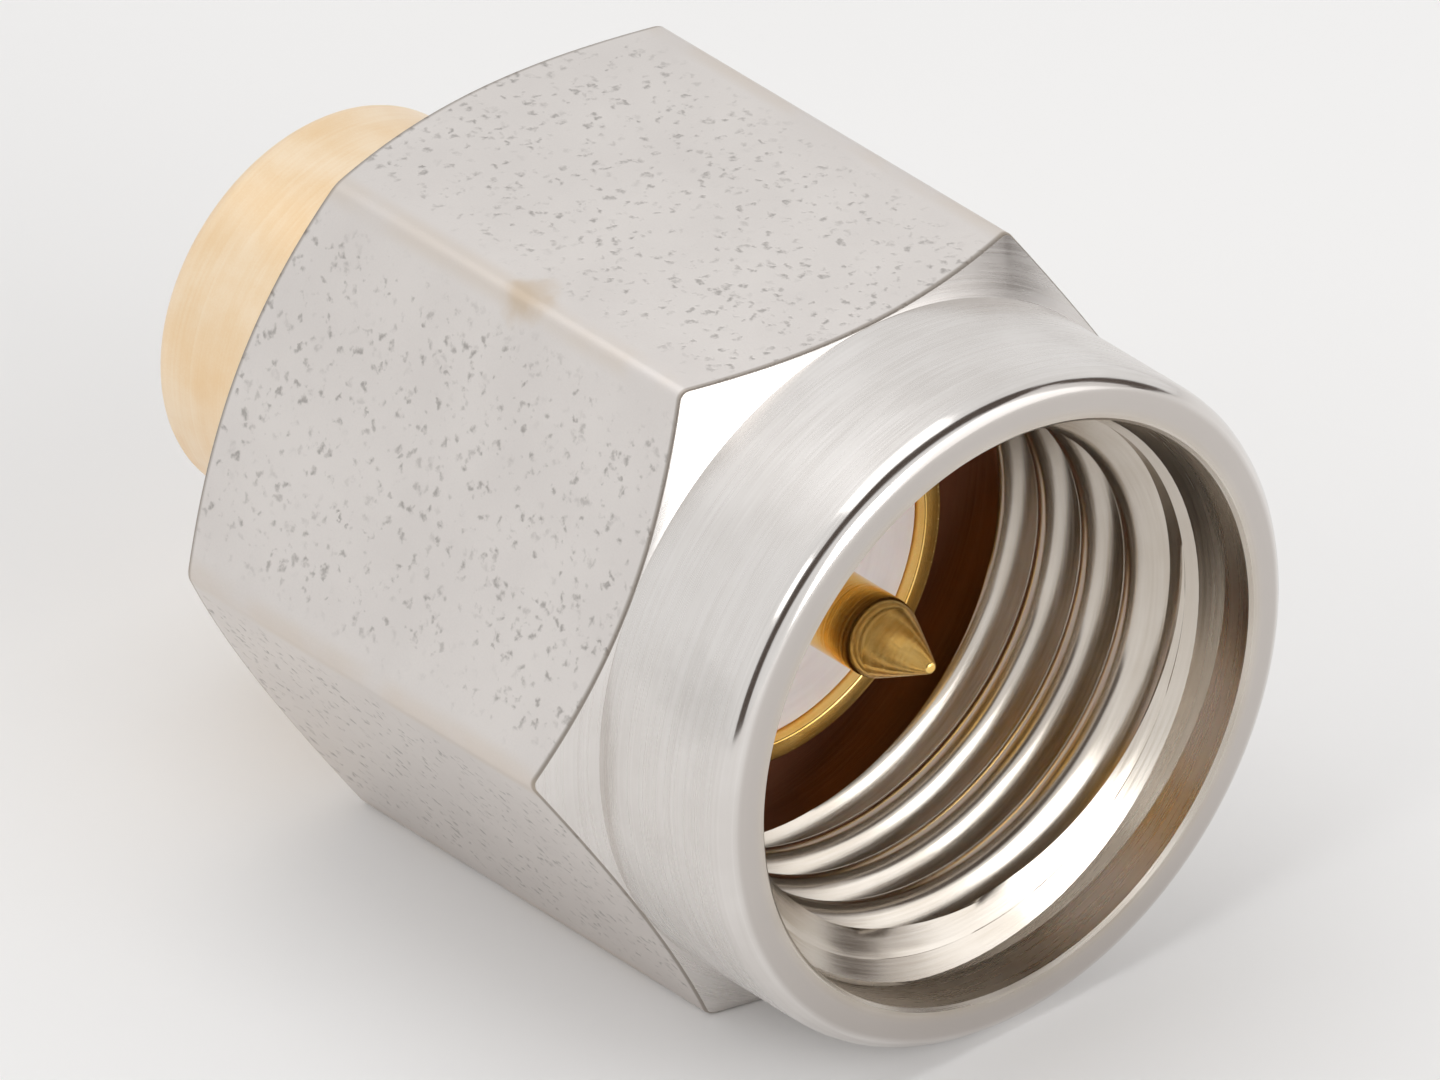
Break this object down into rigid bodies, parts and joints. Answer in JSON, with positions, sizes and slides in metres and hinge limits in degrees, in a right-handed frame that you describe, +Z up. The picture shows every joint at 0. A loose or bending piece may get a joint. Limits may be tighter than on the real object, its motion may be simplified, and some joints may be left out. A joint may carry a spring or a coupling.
{
  "type": "coaxial cable plug",
  "caption": "Small coaxial cable plug: hexagon coupling nut with a round threaded collar turning on a gold-plated body, with a pointed centre pin and a solder ferrule behind.",
  "frame": {"origin": "on the plug's axis, in the mating plane, which is the front face of the outer contact sleeve", "axes": "+X along the axis out of the mating end, +Z up, square to the flat of the nut that is uppermost as the plug lies on the opposite flat"},
  "size_m": [0.0115, 0.0092, 0.008],
  "materials": {
    "stainless_nut": "satin",
    "gold_plated_body": "satin",
    "white_fluoropolymer": "matt",
    "gold_plated_contact": "satin",
    "silicone_gasket": "matt",
    "ring_metal": "satin"
  },
  "bodies": {
    "plug_body": {"connector_body": "gold_plated_body", "insulator": "white_fluoropolymer", "centre_contact": "gold_plated_contact", "gasket": "silicone_gasket", "retaining_ring": "ring_metal"},
    "nut": {"coupling_nut": "stainless_nut"}
  },
  "joints": [
    {"name": "nut_spin", "type": "hinge", "parent": "plug_body", "child": "nut", "pos_m": [0, 0, 0], "axis": [1, 0, 0], "continuous": true}
  ]
}
